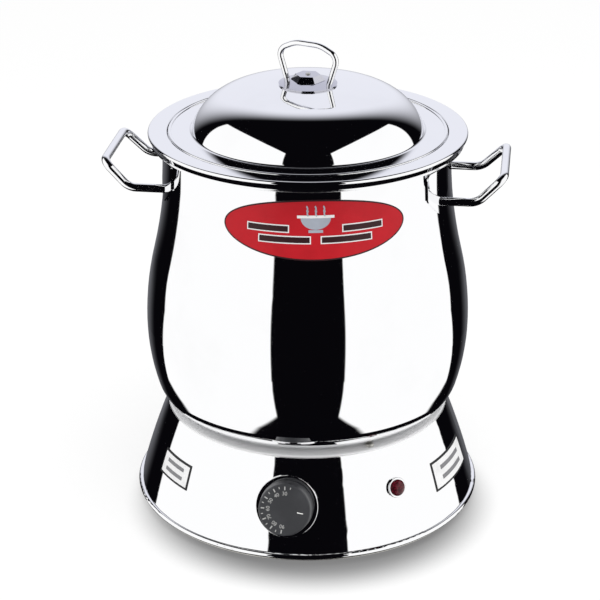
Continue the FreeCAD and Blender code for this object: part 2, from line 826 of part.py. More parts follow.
parts = {
    "base_shell": make_base_shell(),
    "base_plate": make_base_plate(),
    "rubber_feet": Part.makeCompound(around(make_foot(), foot_count, 180 / foot_count)),
    "seat_ring": make_seat_ring(),
    "ledge_screws": Part.makeCompound(around(make_ledge_screw(), ledge_screw_count, ledge_screw_angle)),
    "heat_shield": make_heat_shield(),
    "insulation_pad": make_insulation_pad(),
    "heating_element": make_heating_element(),
    "element_bushes": Part.makeCompound([make_element_bush(leg_x), make_element_bush(-leg_x)]),
    "heater_clamp_plate": make_clamp_plate(),
    "centre_stud": Part.makeCylinder(stud_radius, vessel_level - stud_low, point(0, stud_low)),
    "clamp_nut": stud_nut(clamp_top - clamp_wall - seat_gap),
    "base_nut": stud_nut(foot_height + dish_rise - seat_gap),
    "terminal_block": make_terminal_block(),
    "cable_gland": placed(make_cable_gland(), gland_frame),
    "gland_nut": placed(gland_nut, gland_frame),
    "control_knob": placed(make_control_knob(), knob_frame),
    "knob_ring": make_knob_ring(),
    "thermostat_body": placed(make_thermostat_body(), knob_frame),
    "thermostat_nut": placed(thermostat_nut, knob_frame),
    "thermostat_shaft": placed(thermostat_shaft, knob_frame),
    "sensing_bulb": make_sensing_bulb(),
    "lamp_bezel": make_lamp_bezel(),
    "lamp_lens": placed(make_lamp_lens(), lamp_frame),
    "lamp_body": placed(lamp_body, lamp_frame),
    "lamp_nut": placed(lamp_nut, lamp_frame),
    "outer_vessel": make_outer_vessel(),
    "left_handle_brackets": make_brackets(180),
    "right_handle_brackets": make_brackets(0),
    "left_handle": make_handle(180),
    "right_handle": make_handle(0),
    "soup_pot": make_soup_pot(),
    "lid_shell": make_lid_shell(),
    "lid_saucer": lid_saucer,
    "lid_boss": make_lid_boss(),
    "lid_screw": make_lid_screw(),
    "lid_loop": make_lid_loop(lid_saucer),
}

os.makedirs("parts", exist_ok=True)
for name, shape in parts.items():
    shape.exportStep(f"parts/{name}.step")
    print(name, len(shape.Solids), "valid" if shape.isValid() else "NOT VALID", round(shape.Volume))
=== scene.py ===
import json
import math

import bpy
from bpy.props import FloatProperty, FloatVectorProperty, IntProperty, PointerProperty
from mathutils import Matrix, Vector
from mathutils.bvhtree import BVHTree


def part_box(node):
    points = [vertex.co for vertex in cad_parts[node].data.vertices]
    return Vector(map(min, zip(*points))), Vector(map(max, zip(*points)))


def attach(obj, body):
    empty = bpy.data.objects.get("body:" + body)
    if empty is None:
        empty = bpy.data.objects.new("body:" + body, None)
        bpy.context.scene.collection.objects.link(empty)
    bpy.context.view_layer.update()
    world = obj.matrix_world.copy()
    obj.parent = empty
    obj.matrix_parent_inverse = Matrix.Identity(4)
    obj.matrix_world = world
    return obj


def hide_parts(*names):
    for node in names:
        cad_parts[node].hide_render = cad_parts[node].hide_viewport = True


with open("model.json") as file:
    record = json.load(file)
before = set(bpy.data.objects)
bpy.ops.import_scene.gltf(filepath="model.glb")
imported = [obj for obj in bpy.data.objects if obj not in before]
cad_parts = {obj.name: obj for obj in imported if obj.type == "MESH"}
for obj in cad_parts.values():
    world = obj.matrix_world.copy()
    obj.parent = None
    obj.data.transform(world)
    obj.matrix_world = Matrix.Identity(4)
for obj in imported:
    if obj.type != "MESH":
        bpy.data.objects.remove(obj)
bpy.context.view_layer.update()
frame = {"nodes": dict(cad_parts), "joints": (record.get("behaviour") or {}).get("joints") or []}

bl_info = {
    "name": "Soup kettle finish",
    "version": (1, 0, 0),
    "blender": (4, 5, 0),
    "location": "View3D > Sidebar > Kettle",
    "description": "Finishes, badge, labels, dial marks and studio for an electric soup kettle",
    "category": "Object",
}

MM = 0.001
MICRON = 0.000001
# A distance from which rays are cast at the kettle, well outside it.
CLEAR = 0.5
RIM_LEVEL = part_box("soup_pot")[1].z
LEDGE_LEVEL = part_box("base_shell")[1].z
KNOB_JOINT = next(joint for joint in frame["joints"] if joint["name"] == "knob_turn")
# Ovals that make up the badge's field, as shares of its size.
FIELD_ROWS = (0.02, 0.14, 0.28, 0.42, 0.56, 0.7, 0.84, 1.0)
# White panels of the tent: angles from the camera's direction and slopes of their edges.
PANEL_START = math.radians(25.2)
PANEL_END = math.radians(120.0)
PANEL_MIDDLE = math.radians(69.0)
PANEL_TOP = 1.19
PANEL_FOOT = 1.45
# Below this level, on a tent of radius 1, the panels reach further back by this rate.
SPREAD_LEVEL = -0.30
SPREAD_RATE = 0.75
# Soft glow behind the kettle: its rise over level and the angles where it is full and ends.
GLOW_RISE = math.radians(25.0)
GLOW_CORE = math.radians(20.0)
GLOW_EDGE = math.radians(48.0)
# Share of that glow in the part of the tent low behind the kettle.
LOW_GLOW = 0.22
WHITE = (1.0, 1.0, 1.0)
BLACK = (0.0, 0.0, 0.0)


class Socket:
    """A shader socket. Arithmetic on sockets adds Math nodes to its tree."""

    def __init__(self, tree, output=None):
        self.tree = tree
        self.output = output

    def node(self, kind, settings=None, inputs=None):
        """Add a node, set it up, feed its inputs and return its first output."""
        made = self.tree.nodes.new(kind)
        for name, value in (settings or {}).items():
            setattr(made, name, value)
        for name, value in (inputs or {}).items():
            self.feed(made, name, value)
        return Socket(self.tree, made.outputs[0])

    def feed(self, node, name, value):
        """Link a socket to a node's input, or set the input to a number or colour."""
        target = node.inputs[name]
        if isinstance(value, Socket):
            self.tree.links.new(value.output, target)
        else:
            target.default_value = value

    def out(self, name):
        """Another output of this socket's node."""
        return Socket(self.tree, self.output.node.outputs[name])

    def split(self):
        """The x, y and z of this vector."""
        parts = self.node("ShaderNodeSeparateXYZ", inputs={0: self})
        return parts, parts.out("Y"), parts.out("Z")

    def join(self, x, y, z):
        """A vector of three values."""
        return self.node("ShaderNodeCombineXYZ", inputs={0: x, 1: y, 2: z})

    def math(self, operation, *values):
        """The result of a Math node on this value and others."""
        return self.node("ShaderNodeMath", {"operation": operation}, dict(enumerate((self, *values))))

    def __add__(self, other):
        return self.math("ADD", other)

    def __sub__(self, other):
        return self.math("SUBTRACT", other)

    def __mul__(self, other):
        return self.math("MULTIPLY", other)

    def __rsub__(self, other):
        minus = self.math("MULTIPLY", -1.0)
        return minus.math("ADD", other)

    __radd__ = __add__
    __rmul__ = __mul__

    def step(self, low, high):
        """0 below low, 1 above high, smooth between them."""
        settings = {"interpolation_type": "SMOOTHSTEP"}
        return self.node("ShaderNodeMapRange", settings, {0: self, 1: low, 2: high})

    def mix(self, low, high):
        """Colour between low and high, by this value."""
        return self.node("ShaderNodeMix", {"data_type": "RGBA"}, {0: self, 6: low, 7: high}).out(2)

    def noise(self, scale, detail=3.0, roughness=0.55):
        """Noise from 0 to 1 over this vector."""
        inputs = {"Vector": self, "Scale": scale, "Detail": detail, "Roughness": roughness}
        return self.node("ShaderNodeTexNoise", inputs=inputs)

    def bump(self, strength, distance):
        """A normal with this height pressed into it."""
        inputs = {"Strength": strength, "Distance": distance, "Height": self}
        return self.node("ShaderNodeBump", inputs=inputs)


def colour4(colour, scale=1.0):
    """A colour, made lighter or darker, as a socket takes it."""
    return (*[channel * scale for channel in colour], 1.0)


def new_material(name):
    """A material, a socket to write its maths with and its shader."""
    material = bpy.data.materials.new(name)
    material.use_nodes = True
    tree = material.node_tree
    return material, Socket(tree), tree.nodes["Principled BSDF"]


def place_of(paint):
    """The surface point in the kettle's own frame, in metres."""
    return paint.node("ShaderNodeTexCoord").out("Object")


def turned_lines(paint, across):
    """Fine lines left by polishing round the kettle's axis, from 0 to 1."""
    x, y, z = place_of(paint).split()
    turn = y.math("ARCTAN2", x)
    reach = (x * x + y * y).math("SQRT")
    return paint.join(turn * 4.0, reach * across, z * across).noise(1.0, 4.0, 0.6)


def polished_steel(name, tint, roughness):
    """Mirror-polished stainless sheet with faint turning lines and handling haze."""
    material, paint, shader = new_material(name)
    lines = turned_lines(paint, 900.0)
    haze = place_of(paint).noise(14.0, 4.0).step(0.45, 0.75)
    shader.inputs["Metallic"].default_value = 1.0
    paint.feed(shader, "Base Color", haze.mix(colour4(tint), colour4(tint, 0.975)))
    paint.feed(shader, "Roughness", roughness + lines * 0.018 + haze * 0.02)
    paint.feed(shader, "Normal", lines.bump(0.02, 0.00005))
    return material


def satin_steel(name, tint, roughness, low, high, frost):
    """Polished sheet that is satin brushed between two levels, more or less frosted there."""
    material, paint, shader = new_material(name)
    lines = turned_lines(paint, 1500.0)
    _, _, z = place_of(paint).split()
    inside = z.step(low - MM, low + MM) * (1.0 - z.step(high - MM, high + MM))
    paint.feed(shader, "Metallic", 1.0 - inside * frost)
    paint.feed(shader, "Base Color", inside.mix(colour4(tint), colour4(tint, 1.0 + 0.03 * frost)))
    paint.feed(shader, "Roughness", roughness + inside * (0.2 + lines * 0.12) + lines * 0.02)
    paint.feed(shader, "Normal", (lines * inside).bump(0.12, 0.0001))
    return material


def bright_rod(name, tint, roughness):
    """Polished round bar with fine drawn marks and a little rub wear."""
    material, paint, shader = new_material(name)
    place = place_of(paint)
    marks = place.noise(600.0, 3.0)
    rub = place.noise(45.0, 3.0).step(0.5, 0.72)
    shader.inputs["Metallic"].default_value = 1.0
    paint.feed(shader, "Base Color", rub.mix(colour4(tint), colour4(tint, 0.95)))
    paint.feed(shader, "Roughness", roughness + marks * 0.03 + rub * 0.05)
    paint.feed(shader, "Normal", marks.bump(0.03, 0.00008))
    return material


def plain_metal(name, tint, roughness, grain):
    """Plated or bare metal of inner parts, mottled at the given grain."""
    material, paint, shader = new_material(name)
    place = place_of(paint)
    mottle = place.noise(grain, 4.0)
    stain = place.noise(grain * 0.2, 2.0).step(0.4, 0.75)
    shader.inputs["Metallic"].default_value = 1.0
    paint.feed(shader, "Base Color", stain.mix(colour4(tint), colour4(tint, 0.72)))
    paint.feed(shader, "Roughness", roughness + mottle * 0.16)
    paint.feed(shader, "Normal", mottle.bump(0.1, 0.0002))
    return material


def moulded(name, tint, roughness, grain, depth):
    """Moulded plastic, rubber, ceramic or wool with its fine grain."""
    material, paint, shader = new_material(name)
    place = place_of(paint)
    grains = place.noise(grain, 4.0, 0.6)
    bloom = place.noise(grain * 0.03, 3.0).step(0.35, 0.8)
    paint.feed(shader, "Base Color", bloom.mix(colour4(tint), colour4(tint, 1.35)))
    paint.feed(shader, "Roughness", roughness + grains * 0.12)
    paint.feed(shader, "Normal", grains.bump(0.25, depth))
    return material


def lamp_red(name, tint):
    """Dark red lamp cap, prismed inside and glossy outside, with the prisms' light painted into its
    colour.
    """
    material, paint, shader = new_material(name)
    place = place_of(paint)
    settings = {"feature": "F1", "distance": "CHEBYCHEV"}
    prisms = paint.node("ShaderNodeTexVoronoi", settings, {"Vector": place, "Scale": 620.0})
    # Painted light: the colour is lighter near each prism's point and darker towards its edges,
    # standing for light caught in the prisms.
    glow = prisms.step(0.1, 0.6)
    paint.feed(shader, "Base Color", glow.mix(colour4(tint, 1.9), colour4(tint, 0.55)))
    paint.feed(shader, "Roughness", 0.14 + glow * 0.1)
    shader.inputs["Coat Weight"].default_value = 0.15
    shader.inputs["Specular IOR Level"].default_value = 0.25
    paint.feed(shader, "Normal", glow.bump(0.15, 0.0003))
    return material


def printed(name, tint, roughness, fleck):
    """Printed foil or ink: even colour with faint flecks and a soft gloss."""
    material, paint, shader = new_material(name)
    place = place_of(paint)
    flecks = place.noise(fleck, 3.0)
    cloud = place.noise(60.0, 3.0).step(0.3, 0.8)
    shader.inputs["Specular IOR Level"].default_value = 0.2
    paint.feed(shader, "Base Color", cloud.mix(colour4(tint), colour4(tint, 0.88)))
    paint.feed(shader, "Roughness", roughness + flecks * 0.1)
    paint.feed(shader, "Normal", flecks.bump(0.05, 0.00005))
    return material


def dress(material, *nodes):
    """Give CAD nodes a material."""
    for node in nodes:
        materials = frame["nodes"][node].data.materials
        materials.clear()
        materials.append(material)


def skin_of(node):
    """Search tree over a CAD node's surface."""
    graph = bpy.context.evaluated_depsgraph_get()
    return BVHTree.FromObject(frame["nodes"][node], graph)


def on_skin(skin, angle, level, lift):
    """Point on the outside of a round node, lifted off it, at an angle and a level."""
    away = Vector((math.cos(angle), math.sin(angle), 0.0))
    start = away * CLEAR + Vector((0.0, 0.0, level))
    spot, normal, _, _ = skin.ray_cast(start, -away)
    if spot is None:
        place = f"{math.degrees(angle):.0f} degrees, level {level:.3f}"
        raise RuntimeError(f"nothing to stick on at {place}")
    flat = Vector((spot.x, spot.y, 0.0)).length
    up = Vector((0.0, 0.0, normal.z))
    out = (away * Vector((normal.x, normal.y, 0.0)).length + up).normalized()
    return away * flat + Vector((0.0, 0.0, level)) + out * lift


def add_piece(name, points, faces, materials, body, face_materials=None):
    """A mesh piece that rides on a body, with the materials given to it."""
    mesh = bpy.data.meshes.new(name)
    mesh.from_pydata(points, [], faces)
    mesh.validate()
    for material in materials:
        mesh.materials.append(material)
    for polygon in mesh.polygons:
        polygon.use_smooth = True
        if face_materials:
            polygon.material_index = face_materials[polygon.index]
    mesh.set_sharp_from_angle(angle=math.radians(40))
    piece = bpy.data.objects.new(name, mesh)
    bpy.context.scene.collection.objects.link(piece)
    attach(piece, body)
    return piece


def patch(rows, columns, closed=False):
    """Faces of a grid of points kept row by row."""
    faces = []
    across = columns if closed else columns - 1
    for row in range(rows - 1):
        for column in range(across):
            after = (column + 1) % columns
            low, high = row * columns, (row + 1) * columns
            faces.append((low + column, low + after, high + after, high + column))
    return faces


def seam_steps(node):
    """Steps of a round node's outline, read where its skin crosses the +X half-plane.

    Each step is (start, end, start normal, end normal), places and normals as (outward, up),
    and runs so that the skin faces right of its way."""
    mesh = frame["nodes"][node].data
    on_seam = {v.index for v in mesh.vertices if abs(v.co.y) < 0.1 * MICRON and v.co.x > 0}
    steps = []
    for polygon in mesh.polygons:
        loops = [mesh.loops[corner] for corner in polygon.loop_indices]
        ends = [loop for loop in loops if loop.vertex_index in on_seam]
        if len(ends) != 2 or polygon.center.y < 0:
            continue
        places = [mesh.vertices[loop.vertex_index].co.xz for loop in ends]
        normals = [mesh.corner_normals[loop.index].vector.xz.normalized() for loop in ends]
        way = places[1] - places[0]
        order = 1 if way.y * normals[0].x - way.x * normals[0].y > 0 else -1
        steps.append((*places[::order], *normals[::order]))
    return steps


def ring_key(place):
    """A place to the nearest micron, the same for steps that meet."""
    return round(place.x / MICRON), round(place.y / MICRON)


def close_steps(steps):
    """The same steps, with the level ones added that no seam shows."""
    starts = {ring_key(start): start for start, _, _, _ in steps}
    ends = {ring_key(end): end for _, end, _, _ in steps}
    open_starts = [place for key, place in starts.items() if key not in ends]
    open_ends = [place for key, place in ends.items() if key not in starts]
    gaps = []
    for end in open_ends:
        level = [start for start in open_starts if abs(start.y - end.y) < MICRON]
        target = level[0] if level else Vector((0.0, end.y))
        open_starts = [start for start in open_starts if start is not target]
        gaps.append((end, target))
    gaps += [(Vector((0.0, start.y)), start) for start in open_starts]
    normals = [Vector((0.0, 1.0 if end.x < start.x else -1.0)) for start, end in gaps]
    return steps + [(*gap, normal, normal) for gap, normal in zip(gaps, normals)]


def spin_again(node, name, body, material, turns=384):
    """Spin a round node's outline with finer turns, so that its narrow bends mirror smoothly."""
    around = [2 * math.pi * k / turns for k in range(turns)]
    rings, points, faces, normals = {}, [], [], []

    def turned(flat, turn):
        return flat.x * math.cos(turn), flat.x * math.sin(turn), flat.y

    def ring(place):
        """Point numbers round the axis at a place, which are all the same for a place on the axis."""
        key = ring_key(place)
        if key not in rings:
            first, on_axis = len(points), place.x < MICRON
            rings[key] = [first] * turns if on_axis else [first + k for k in range(turns)]
            points.extend(turned(place, turn) for turn in (around[:1] if on_axis else around))
        return rings[key]

    for start, end, start_normal, end_normal in close_steps(seam_steps(node)):
        low, high = ring(start), ring(end)
        for k in range(turns):
            after = (k + 1) % turns
            corners = [(low[k], start_normal, k), (low[after], start_normal, after)]
            corners += [(high[after], end_normal, after), (high[k], end_normal, k)]
            kept = {}
            for corner, normal, at in corners:
                kept.setdefault(corner, turned(normal, around[at]))
            faces.append(list(kept))
            normals.extend(kept.values())
    piece = add_piece(name, points, faces, [material], body)
    piece.data.normals_split_custom_set(normals)
    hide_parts(node)


class Sticker:
    """Thin shapes laid on a round node; places are (along, up) in metres from a centre."""

    def __init__(self, node, centre_angle, centre_level):
        self.skin = skin_of(node)
        self.angle = centre_angle
        self.level = centre_level
        middle = on_skin(self.skin, centre_angle, centre_level, 0.0)
        self.radius = Vector((middle.x, middle.y, 0.0)).length

    def at(self, along, up, lift):
        """Point on the node at a place, lifted off its skin."""
        return on_skin(self.skin, self.angle + along / self.radius, self.level + up, lift)

    def strip(self, edges, lift):
        """Points and faces of a raised strip between pairs of places, with walls on all sides."""
        rows = [(edges[0], 0.0), *[(pair, lift) for pair in edges], (edges[-1], 0.0)]
        points = []
        for (near, far), height in rows:
            places = [near, near, *between(near, far), far, far]
            heights = [0.0, *[height] * (len(places) - 2), 0.0]
            points += [self.at(*place, top) for place, top in zip(places, heights)]
        return points, patch(len(rows), len(points) // len(rows))


def between(near, far, steps=6):
    """Places part of the way from near to far."""
    shares = [step / steps for step in range(1, steps)]
    return [tuple(a + (b - a) * share for a, b in zip(near, far)) for share in shares]


def line_edges(start, end, half, steps=24):
    """Pairs of places on both sides of a straight stroke."""
    across = Vector((start[1] - end[1], end[0] - start[0])).normalized() * half
    pairs = []
    for step in range(steps + 1):
        spot = Vector(start).lerp(Vector(end), step / steps)
        pairs.append((tuple(spot - across), tuple(spot + across)))
    return pairs


def arc_edges(centre, inner, outer, first, last, squash=1.0, steps=48):
    """Pairs of places along an arc band; angles in degrees."""
    pairs = []
    for step in range(steps + 1):
        turn = math.radians(first + (last - first) * step / steps)
        way = Vector((math.cos(turn), math.sin(turn) * squash))
        pairs.append(tuple(tuple(Vector(centre) + way * radius) for radius in (inner, outer)))
    return pairs


class KettleFinish(bpy.types.PropertyGroup):
    """Colours and sizes of the kettle's finish."""

    steel: FloatVectorProperty(
        name="Steel",
        description="Tint of the polished sheet",
        subtype="COLOR",
        default=(0.93, 0.932, 0.94),
    )
    steel_roughness: FloatProperty(
        name="Steel roughness",
        description="Blur of the polished sheet",
        subtype="FACTOR",
        default=0.02,
    )
    casting: FloatVectorProperty(
        name="Casting",
        description="Tint of the lid's boss and saucer",
        subtype="COLOR",
        default=(0.56, 0.56, 0.62),
    )
    knob: FloatVectorProperty(
        name="Knob",
        description="Moulded knob colour",
        subtype="COLOR",
        default=(0.036, 0.037, 0.041),
    )
    marks: FloatVectorProperty(
        name="Dial marks",
        description="Ink of the dial marks",
        subtype="COLOR",
        default=(0.42, 0.42, 0.41),
    )
    lens: FloatVectorProperty(
        name="Lamp", description="Lamp cap colour", subtype="COLOR", default=(0.064, 0.004, 0.009)
    )
    badge_red: FloatVectorProperty(
        name="Badge red", description="Badge field", subtype="COLOR", default=(0.49, 0.008, 0.016)
    )
    badge_width: FloatProperty(
        name="Badge width", description="Badge width along the neck", unit="LENGTH", default=0.160
    )
    badge_height: FloatProperty(
        name="Badge height", description="Badge height", unit="LENGTH", default=0.0525
    )
    badge_level: FloatProperty(
        name="Badge level",
        description="Height of the badge's middle",
        unit="LENGTH",
        default=0.3038,
    )
    badge_turn: FloatProperty(
        name="Badge turn",
        description="Angle of the badge's middle",
        subtype="ANGLE",
        default=math.radians(-80),
    )
    badge_edge: FloatProperty(
        name="Badge edge",
        description="Width of the badge's dark edge",
        unit="LENGTH",
        default=0.0013,
    )
    label_edge: FloatProperty(
        name="Label edge",
        description="Width of a label's black border",
        unit="LENGTH",
        default=0.0019,
    )
    sticker_lift: FloatProperty(
        name="Sticker lift",
        description="Thickness of badge and labels",
        unit="LENGTH",
        default=0.0004,
    )
    dial_ticks: IntProperty(
        name="Dial numbers", description="Numbers printed on the knob", default=7, min=2
    )


class KettleStage(bpy.types.PropertyGroup):
    """Camera, floor, tent and light of the studio."""

    camera_turn: FloatProperty(
        name="Camera turn",
        description="Camera's angle round the kettle",
        subtype="ANGLE",
        default=math.radians(7),
    )
    camera_distance: FloatProperty(
        name="Camera distance",
        description="Level distance to the axis",
        unit="LENGTH",
        default=1.610,
    )
    camera_height: FloatProperty(
        name="Camera height", description="Height over the table", unit="LENGTH", default=0.8949
    )
    camera_pitch: FloatProperty(
        name="Camera pitch",
        description="Angle below level",
        subtype="ANGLE",
        default=math.radians(23.8),
    )
    camera_yaw: FloatProperty(
        name="Camera yaw",
        description="Angle to the right of the axis",
        subtype="ANGLE",
        default=math.radians(-0.245),
    )
    camera_lens: FloatProperty(name="Lens", description="Focal length", unit="CAMERA", default=116.04)
    floor: FloatVectorProperty(
        name="Floor", description="Floor colour", subtype="COLOR", default=(0.95, 0.95, 0.95)
    )
    floor_glow: FloatProperty(
        name="Floor glow",
        description="Share of the floor's light that is its own",
        subtype="FACTOR",
        default=0.7,
    )
    # The shade settings below paint a soft shadow into the floor's colour around the base, on top of
    # the real shadow.
    shade: FloatVectorProperty(
        name="Shade",
        description="Floor colour in the base's shade",
        subtype="COLOR",
        default=(0.29, 0.29, 0.292),
    )
    shade_inner: FloatProperty(
        name="Shade core", description="Radius of the full shade", unit="LENGTH", default=0.124
    )
    shade_outer: FloatProperty(
        name="Shade reach",
        description="Radius at which the shade ends",
        unit="LENGTH",
        default=0.177,
    )
    shade_shift: FloatProperty(
        name="Shade shift",
        description="Shade's shift towards the camera",
        unit="LENGTH",
        default=0.034,
    )
    room_light: FloatProperty(
        name="Room light", description="Strength of the even light", default=0.92, min=0.0
    )
    top_light: FloatProperty(
        name="Top light", description="Power of the soft lamp overhead", unit="POWER", default=15.0
    )
    panel: FloatVectorProperty(
        name="Panels",
        description="Light of the white side panels",
        subtype="COLOR",
        default=(1.06, 1.06, 1.06),
    )
    glow: FloatVectorProperty(
        name="Glow",
        description="Light of the soft glow behind",
        subtype="COLOR",
        default=(0.86, 0.87, 0.95),
    )


class KETTLE_OT_steel(bpy.types.Operator):
    """Polish the sheet-steel shells of base, vessel, pot and lid"""

    bl_idname = "kettle.steel"
    bl_label = "Polish steel"

    def execute(self, context):
        look = context.scene.kettle_finish
        rim_depth, ledge_depth, ledge_frost = 9 * MM, 1.2 * MM, 0.92
        finish = (look.steel, look.steel_roughness)
        sheet = polished_steel("mirror_sheet", *finish)
        pot = satin_steel("pot_sheet", *finish, 0.0, RIM_LEVEL - rim_depth, 0.0)
        base = satin_steel("base_sheet", *finish, LEDGE_LEVEL - ledge_depth, RIM_LEVEL, ledge_frost)
        chrome = polished_steel("cast_chrome", look.casting, look.steel_roughness + 0.08)
        dress(sheet, "outer_vessel", "lid_shell", "left_handle_brackets", "right_handle_brackets")
        dress(pot, "soup_pot")
        dress(base, "base_shell", "seat_ring")
        dress(chrome, "lid_saucer", "lid_boss")
        spin_again("soup_pot", "pot_spun", "pot", pot)
        spin_again("lid_shell", "lid_spun", "lid", sheet)
        return {"FINISHED"}


class KETTLE_OT_rods(bpy.types.Operator):
    """Brighten the bent rods, the knob ring and the lamp bezel"""

    bl_idname = "kettle.rods"
    bl_label = "Brighten rods"

    def execute(self, context):
        look = context.scene.kettle_finish
        rod = bright_rod("bright_rod", look.steel, look.steel_roughness + 0.02)
        dress(rod, "left_handle", "right_handle", "lid_loop", "knob_ring", "lamp_bezel")
        return {"FINISHED"}


class KETTLE_OT_inside(bpy.types.Operator):
    """Finish the heater, shield, wiring block, screws and nuts inside the base"""

    bl_idname = "kettle.inside"
    bl_label = "Finish inside"

    def execute(self, context):
        plated = plain_metal("plated_steel", (0.62, 0.61, 0.57), 0.28, 220.0)
        sheath = plain_metal("element_sheath", (0.23, 0.19, 0.17), 0.36, 160.0)
        copper = plain_metal("copper_tube", (0.74, 0.38, 0.24), 0.25, 180.0)
        ceramic = moulded("white_ceramic", (0.78, 0.76, 0.71), 0.3, 900.0, 0.06 * MM)
        wool = moulded("mineral_wool", (0.55, 0.50, 0.38), 0.8, 700.0, 1.2 * MM)
        plastic = moulded("pale_plastic", (0.60, 0.57, 0.48), 0.4, 1500.0, 0.05 * MM)
        dress(plated, "base_plate", "heat_shield", "heater_clamp_plate")
        dress(plated, "centre_stud", "clamp_nut", "base_nut", "thermostat_nut", "lamp_nut")
        dress(plated, "ledge_screws", "lid_screw", "thermostat_shaft")
        dress(sheath, "heating_element")
        dress(copper, "sensing_bulb")
        dress(ceramic, "element_bushes", "terminal_block")
        dress(wool, "insulation_pad")
        dress(plastic, "thermostat_body", "lamp_body")
        return {"FINISHED"}


class KETTLE_OT_black(bpy.types.Operator):
    """Finish the rubber feet and the cable gland"""

    bl_idname = "kettle.black"
    bl_label = "Finish rubber and gland"

    def execute(self, context):
        rubber = moulded("black_rubber", (0.022, 0.022, 0.023), 0.62, 1100.0, 0.15 * MM)
        plastic = moulded("gland_plastic", (0.018, 0.018, 0.019), 0.42, 1600.0, 0.06 * MM)
        dress(rubber, "rubber_feet")
        dress(plastic, "cable_gland", "gland_nut")
        return {"FINISHED"}


def knob_face():
    """Middle of the knob's face, its outward direction and its right and up directions."""
    pivot = Vector(KNOB_JOINT["pos_m"])
    out = -Vector(KNOB_JOINT["axis"]).normalized()
    middle, _, _, _ = skin_of("control_knob").ray_cast(pivot + out * CLEAR, -out)
    if middle is None:
        raise RuntimeError("the knob has no face in front of its pivot")
    right = Vector((1.0, 0.0, 0.0))
    return middle, out, right, out.cross(right)


def dial_bar(turn, inner, outer, half, lift, crown=0.6):
    """Points and faces of a raised bar on a dial, from one radius to another at a turn.

    The crown is the width of its top as a share of its foot."""
    way = Vector((math.cos(turn), math.sin(turn)))
    across = Vector((-way.y, way.x)) * half
    points = []
    for side, height in ((across, 0.0), (across * crown, lift)):
        corners = [way * inner - side, way * outer - side, way * outer + side, way * inner + side]
        points += [(*corner, height) for corner in corners]
    faces = [(4, 5, 6, 7)] + [(k, (k + 1) % 4, (k + 1) % 4 + 4, k + 4) for k in range(4)]
    return points, faces


def digit_mesh(text, height, lift):
    """Points and faces of a raised numeral, centred on its own middle."""
    curve = bpy.data.curves.new("numeral", "FONT")
    curve.body = text
    curve.size = height
    curve.align_x = "CENTER"
    curve.align_y = "CENTER"
    curve.extrude = lift
    curve.resolution_u = 4
    holder = bpy.data.objects.new("numeral", curve)
    mesh = bpy.data.meshes.new_from_object(holder)
    points = [tuple(vertex.co) for vertex in mesh.vertices]
    faces = [tuple(polygon.vertices) for polygon in mesh.polygons]
    bpy.data.objects.remove(holder)
    bpy.data.curves.remove(curve)
    bpy.data.meshes.remove(mesh)
    return points, faces


class KETTLE_OT_knob(bpy.types.Operator):
    """Finish the knob and print its dial: numbers, ticks and the index dash"""

    bl_idname = "kettle.knob"
    bl_label = "Finish knob"

    edge: FloatProperty(
        name="Dial edge", description="Face left free around the dial", unit="LENGTH", default=0.0012
    )
    lift: FloatProperty(
        name="Mark height", description="Height of the marks", unit="LENGTH", default=0.0003
    )
    first: FloatProperty(
        name="First turn",
        description="Angle of the first number",
        subtype="ANGLE",
        default=math.radians(91),
    )
    last: FloatProperty(
        name="Last turn",
        description="Angle of the last number",
        subtype="ANGLE",
        default=math.radians(264),
    )
    index: FloatProperty(
        name="Index turn",
        description="Angle of the index dash",
        subtype="ANGLE",
        default=math.radians(-8),
    )
    lowest: IntProperty(name="Lowest", description="The first number itself", default=30)
    rise: IntProperty(name="Rise", description="From one number to the next", default=10)
    number_height: FloatProperty(
        name="Number height", description="Height of the numbers", unit="LENGTH", default=0.0046
    )

    def execute(self, context):
        look = context.scene.kettle_finish
        dress(moulded("knob_plastic", look.knob, 0.34, 1400.0, 0.08 * MM), "control_knob")
        ink = printed("dial_ink", look.marks, 0.45, 900.0)
        white = printed("index_ink", (0.86, 0.86, 0.84), 0.4, 900.0)
        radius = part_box("control_knob")[1].x - self.edge
        long_tick, short_tick, tick_end = 0.78 * radius, 0.84 * radius, 0.92 * radius
        number_ring, dash_start, dash_end = 0.64 * radius, 0.5 * radius, 0.74 * radius
        step = (self.last - self.first) / (look.dial_ticks - 1)
        bars, numbers = [], []
        for k in range(look.dial_ticks):
            turn = self.first + step * k
            bars.append(dial_bar(turn, long_tick, tick_end, 0.55 * MM, self.lift))
            bars.append(dial_bar(turn - step / 2, short_tick, tick_end, 0.4 * MM, self.lift))
            numbers.append(self.number(self.lowest + self.rise * k, turn, number_ring))
        dash = dial_bar(self.index, dash_start, dash_end, 0.45 * MM, self.lift)
        self.put("dial_ticks", bars, ink)
        self.put("dial_numbers", numbers, ink)
        self.put("dial_index", [dash], white)
        return {"FINISHED"}

    def number(self, value, turn, reach):
        """Points and faces of a number that stands on the dial with its foot to the middle."""
        points, faces = digit_mesh(str(value), self.number_height, self.lift)
        middle = Vector((math.cos(turn), math.sin(turn), 0.0)) * reach
        turned = Matrix.Translation(middle) @ Matrix.Rotation(turn - math.pi / 2, 4, "Z")
        return [tuple(turned @ Vector(point)) for point in points], faces

    def put(self, name, shapes, material):
        """One piece from several flat shapes, laid on the knob's face."""
        middle, out, right, up = knob_face()
        points, faces = [], []
        for shape_points, shape_faces in shapes:
            start = len(points)
            points += [middle + right * x + up * y + out * z for x, y, z in shape_points]
            faces += [tuple(start + corner for corner in face) for face in shape_faces]
        add_piece(name, points, faces, [material], "knob")


class KETTLE_OT_lamp(bpy.types.Operator):
    """Finish the pilot lamp's cap"""

    bl_idname = "kettle.lamp"
    bl_label = "Finish lamp"

    def execute(self, context):
        dress(lamp_red("lamp_red", context.scene.kettle_finish.lens), "lamp_lens")
        return {"FINISHED"}


